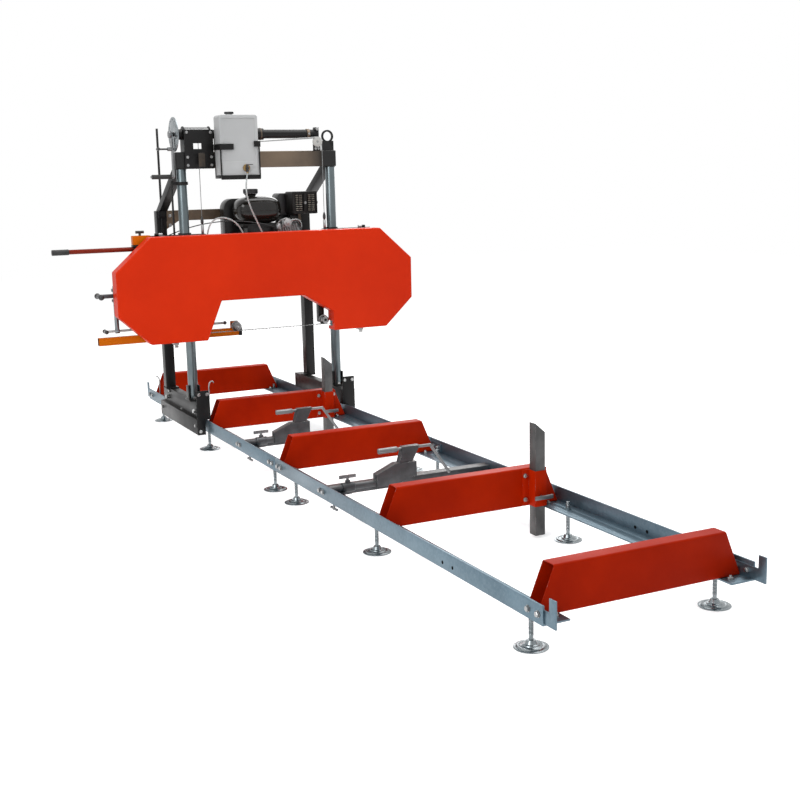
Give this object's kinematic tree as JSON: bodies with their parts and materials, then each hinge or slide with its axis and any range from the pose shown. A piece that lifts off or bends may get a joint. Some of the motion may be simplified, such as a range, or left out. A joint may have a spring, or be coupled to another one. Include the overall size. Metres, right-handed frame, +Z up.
{
  "type": "portable band sawmill",
  "caption": "Band saw for logs: a railed track with cross beams, a rolling carriage and a hooded saw head that rises on two columns, with its engine behind.",
  "frame": {"origin": "on the floor, under the middle of the machine's bounding box", "axes": "+Z up; the rails run along Y, and the carriage is pushed towards -Y; +X to the right, seen from the near end of the track"},
  "size_m": [2.165, 5.01, 1.9733],
  "materials": {
    "red_paint": "gloss",
    "orange_paint": "gloss",
    "black_paint": "satin",
    "zinc_steel": "satin",
    "bare_steel": "satin",
    "cast_metal": "cast",
    "cast_wheel": "satin",
    "white_plastic": "matte",
    "black_plastic": "matte",
    "black_rubber": "matte",
    "clear_hose": "gloss"
  },
  "bodies": {
    "track": {"rails": "zinc_steel", "rail_fittings": "zinc_steel", "bunks": "red_paint", "levelling_feet": "zinc_steel", "clamp_members": "bare_steel", "stop_sleeves": "bare_steel"},
    "carriage": {"side_member_left": "black_paint", "side_member_right": "black_paint", "columns": "zinc_steel", "rear_frame": "black_paint", "top_beam": "black_paint", "winch_housing": "black_paint", "water_tank": "white_plastic", "tank_frame": "black_paint", "lift_cables": "zinc_steel", "water_hose": "clear_hose"},
    "head": {"head_frame": "black_paint", "engine_block": "cast_metal", "fuel_tank": "black_paint", "muffler": "black_paint", "air_cleaner": "black_plastic", "blade": "bare_steel", "belt": "black_rubber"},
    "wheel_front_left": {"wheel_front_left": "cast_wheel"},
    "wheel_rear_left": {"wheel_rear_left": "cast_wheel"},
    "wheel_front_right": {"wheel_front_right": "cast_wheel"},
    "wheel_rear_right": {"wheel_rear_right": "cast_wheel"},
    "winch": {"winch": "zinc_steel"},
    "cable_pulley": {"cable_pulley": "white_plastic"},
    "crank_grip": {"crank_grip": "black_plastic"},
    "index_pin": {"index_pin": "zinc_steel"},
    "tank_cap": {"tank_cap": "black_plastic"},
    "tap_lever": {"tap_lever": "black_plastic"},
    "guard": {"guard": "red_paint"},
    "latch_left": {"latch_left": "bare_steel"},
    "latch_right": {"latch_right": "bare_steel"},
    "drive_wheel": {"drive_wheel": "cast_wheel"},
    "tension_block": {"tension_block": "bare_steel"},
    "tension_handle": {"tension_handle": "zinc_steel"},
    "idler_wheel": {"idler_wheel": "cast_wheel"},
    "engine_pulley": {"engine_pulley": "cast_wheel"},
    "guide_arm": {"guide_arm": "orange_paint"},
    "roller_left": {"roller_left": "white_plastic"},
    "roller_right": {"roller_right": "white_plastic"},
    "arm_lock": {"arm_lock": "zinc_steel"},
    "push_handle": {"push_handle": "red_paint"},
    "push_knob": {"push_knob": "black_plastic"},
    "fuel_cap": {"fuel_cap": "black_plastic"},
    "throttle": {"throttle": "black_paint"},
    "recoil": {"recoil": "black_plastic"},
    "clamp_near": {"clamp_near": "bare_steel"},
    "dog_near": {"dog_near": "bare_steel"},
    "clamp_wing_near": {"clamp_wing_near": "black_plastic"},
    "clamp_far": {"clamp_far": "bare_steel"},
    "dog_far": {"dog_far": "bare_steel"},
    "clamp_wing_far": {"clamp_wing_far": "black_plastic"},
    "log_stop_near": {"log_stop_near": "bare_steel"},
    "stop_wing_near": {"stop_wing_near": "black_plastic"},
    "log_stop_far": {"log_stop_far": "bare_steel"},
    "stop_wing_far": {"stop_wing_far": "black_plastic"}
  },
  "joints": [
    {"name": "carriage_travel", "type": "slide", "parent": "track", "child": "carriage", "axis": [0, -1, 0], "range_m": [0, 2.6]},
    {"name": "head_lift", "type": "slide", "parent": "carriage", "child": "head", "axis": [0, 0, 1], "range_m": [-0.35, 0.268], "deforming": ["lift_cables", "water_hose"]},
    {"name": "wheel_front_left_spin", "type": "hinge", "parent": "carriage", "child": "wheel_front_left", "pos_m": [-0.2895, 1.25, 0.2443], "axis": [1, 0, 0], "range_deg": [0, 3726]},
    {"name": "wheel_rear_left_spin", "type": "hinge", "parent": "carriage", "child": "wheel_rear_left", "pos_m": [-0.2895, 1.83, 0.2443], "axis": [1, 0, 0], "range_deg": [0, 3726]},
    {"name": "wheel_front_right_spin", "type": "hinge", "parent": "carriage", "child": "wheel_front_right", "pos_m": [0.6045, 1.25, 0.2443], "axis": [1, 0, 0], "range_deg": [0, 3726]},
    {"name": "wheel_rear_right_spin", "type": "hinge", "parent": "carriage", "child": "wheel_rear_right", "pos_m": [0.6045, 1.83, 0.2443], "axis": [1, 0, 0], "range_deg": [0, 3726]},
    {"name": "winch_spin", "type": "hinge", "parent": "carriage", "child": "winch", "pos_m": [-0.2125, 1.326, 1.852], "axis": [-1, 0, 0], "range_deg": [-525, 394]},
    {"name": "cable_pulley_spin", "type": "hinge", "parent": "carriage", "child": "cable_pulley", "pos_m": [0.5325, 1.286, 1.804], "axis": [0, -1, 0], "range_deg": [-709, 547]},
    {"name": "crank_grip_spin", "type": "hinge", "parent": "winch", "child": "crank_grip", "pos_m": [-0.4225, 1.326, 1.614], "axis": [1, 0, 0], "continuous": true},
    {"name": "index_pin_slide", "type": "slide", "parent": "winch", "child": "index_pin", "axis": [1, 0, 0], "range_m": [0, 0.011]},
    {"name": "tank_cap_turn", "type": "hinge", "parent": "carriage", "child": "tank_cap", "pos_m": [-0.0425, 1.213, 1.961], "axis": [0, 0, 1], "range_deg": [0, 720]},
    {"name": "tap_lever_turn", "type": "hinge", "parent": "carriage", "child": "tap_lever", "pos_m": [0.0295, 1.142, 1.67], "axis": [0, 0, -1], "range_deg": [0, 90]},
    {"name": "guard_open", "type": "hinge", "parent": "head", "child": "guard", "pos_m": [0.1575, 1.262, 1.29], "axis": [1, 0, 0], "range_deg": [-80, 0]},
    {"name": "latch_left_turn", "type": "hinge", "parent": "guard", "child": "latch_left", "pos_m": [-0.4305, 1.205, 0.663], "axis": [1, 0, 0], "range_deg": [-60, 0]},
    {"name": "latch_right_turn", "type": "hinge", "parent": "guard", "child": "latch_right", "pos_m": [0.7455, 1.205, 0.663], "axis": [1, 0, 0], "range_deg": [-60, 0]},
    {"name": "drive_wheel_spin", "type": "hinge", "parent": "head", "child": "drive_wheel", "pos_m": [0.7575, 1.21, 0.955], "axis": [0, 1, 0], "continuous": true},
    {"name": "tension_slide", "type": "slide", "parent": "head", "child": "tension_block", "axis": [1, 0, 0], "range_m": [0, 0.02]},
    {"name": "tension_handle_turn", "type": "hinge", "parent": "head", "child": "tension_handle", "pos_m": [-0.7825, 1.2625, 0.955], "axis": [1, 0, 0], "range_deg": [0, 2881]},
    {"name": "idler_wheel_spin", "type": "hinge", "parent": "tension_block", "child": "idler_wheel", "pos_m": [-0.4425, 1.21, 0.955], "axis": [0, 1, 0], "continuous": true},
    {"name": "engine_pulley_spin", "type": "hinge", "parent": "head", "child": "engine_pulley", "pos_m": [0.2175, 1.409, 1.185], "axis": [0, 1, 0], "continuous": true},
    {"name": "guide_arm_slide", "type": "slide", "parent": "head", "child": "guide_arm", "axis": [1, 0, 0], "range_m": [-0.12, 0.25]},
    {"name": "roller_left_spin", "type": "hinge", "parent": "guide_arm", "child": "roller_left", "pos_m": [-0.0545, 1.21, 0.7335], "axis": [0, 1, 0], "continuous": true},
    {"name": "roller_right_spin", "type": "hinge", "parent": "head", "child": "roller_right", "pos_m": [0.5075, 1.21, 0.7335], "axis": [0, 1, 0], "continuous": true},
    {"name": "arm_lock_turn", "type": "hinge", "parent": "head", "child": "arm_lock", "pos_m": [-0.4425, 1.288, 0.751], "axis": [1, 0, 0], "range_deg": [0, 180]},
    {"name": "push_handle_slide", "type": "slide", "parent": "head", "child": "push_handle", "axis": [1, 0, 0], "range_m": [-0.1, 0.13]},
    {"name": "push_knob_turn", "type": "hinge", "parent": "head", "child": "push_knob", "pos_m": [-0.5845, 1.286, 1.29], "axis": [0, 0, 1], "range_deg": [0, 360]},
    {"name": "fuel_cap_turn", "type": "hinge", "parent": "head", "child": "fuel_cap", "pos_m": [0.1825, 1.54, 1.518], "axis": [0, 0, 1], "range_deg": [0, 90]},
    {"name": "throttle_turn", "type": "hinge", "parent": "head", "child": "throttle", "pos_m": [0.2875, 1.43, 1.29], "axis": [0, 1, 0], "range_deg": [-30, 30]},
    {"name": "recoil_pull", "type": "slide", "parent": "head", "child": "recoil", "axis": [0, 0, 1], "range_m": [0, 0.2]},
    {"name": "clamp_near_slide", "type": "slide", "parent": "track", "child": "clamp_near", "axis": [1, 0, 0], "range_m": [-0.008, 0.05]},
    {"name": "dog_near_turn", "type": "hinge", "parent": "clamp_near", "child": "dog_near", "pos_m": [-0.0205, -0.63, 0.328], "axis": [1, 0, 0], "range_deg": [-90, 0]},
    {"name": "clamp_wing_near_turn", "type": "hinge", "parent": "track", "child": "clamp_wing_near", "pos_m": [-0.1765, -0.63, 0.23], "axis": [0, 0, 1], "range_deg": [0, 720]},
    {"name": "clamp_far_slide", "type": "slide", "parent": "track", "child": "clamp_far", "axis": [1, 0, 0], "range_m": [-0.008, 0.05]},
    {"name": "dog_far_turn", "type": "hinge", "parent": "clamp_far", "child": "dog_far", "pos_m": [-0.0885, 0.53, 0.328], "axis": [1, 0, 0], "range_deg": [-90, 0]},
    {"name": "clamp_wing_far_turn", "type": "hinge", "parent": "track", "child": "clamp_wing_far", "pos_m": [-0.1765, 0.53, 0.23], "axis": [0, 0, 1], "range_deg": [0, 720]},
    {"name": "log_stop_near_lift", "type": "slide", "parent": "track", "child": "log_stop_near", "axis": [0, 0, 1], "range_m": [0, 0.13]},
    {"name": "stop_wing_near_turn", "type": "hinge", "parent": "track", "child": "stop_wing_near", "pos_m": [0.4685, -1.2875, 0.192], "axis": [0, 1, 0], "range_deg": [0, 720]},
    {"name": "log_stop_far_lift", "type": "slide", "parent": "track", "child": "log_stop_far", "axis": [0, 0, 1], "range_m": [0, 0.13]},
    {"name": "stop_wing_far_turn", "type": "hinge", "parent": "track", "child": "stop_wing_far", "pos_m": [0.4685, 1.0575, 0.192], "axis": [0, 1, 0], "range_deg": [0, 720]}
  ],
  "couplings": [
    {"joint": "wheel_front_left_spin", "follows": "carriage_travel", "rad_per_m": 25},
    {"joint": "wheel_rear_left_spin", "follows": "carriage_travel", "rad_per_m": 25},
    {"joint": "wheel_front_right_spin", "follows": "carriage_travel", "rad_per_m": 25},
    {"joint": "wheel_rear_right_spin", "follows": "carriage_travel", "rad_per_m": 25},
    {"joint": "winch_spin", "follows": "head_lift", "rad_per_m": 25.4},
    {"joint": "cable_pulley_spin", "follows": "head_lift", "rad_per_m": 35.3},
    {"joint": "tension_handle_turn", "follows": "tension_slide", "rad_per_m": 2513},
    {"joint": "idler_wheel_spin", "follows": "drive_wheel_spin", "ratio": 1},
    {"joint": "engine_pulley_spin", "follows": "drive_wheel_spin", "ratio": 2.39},
    {"joint": "roller_left_spin", "follows": "drive_wheel_spin", "ratio": 11.15},
    {"joint": "roller_right_spin", "follows": "drive_wheel_spin", "ratio": 11.15}
  ]
}
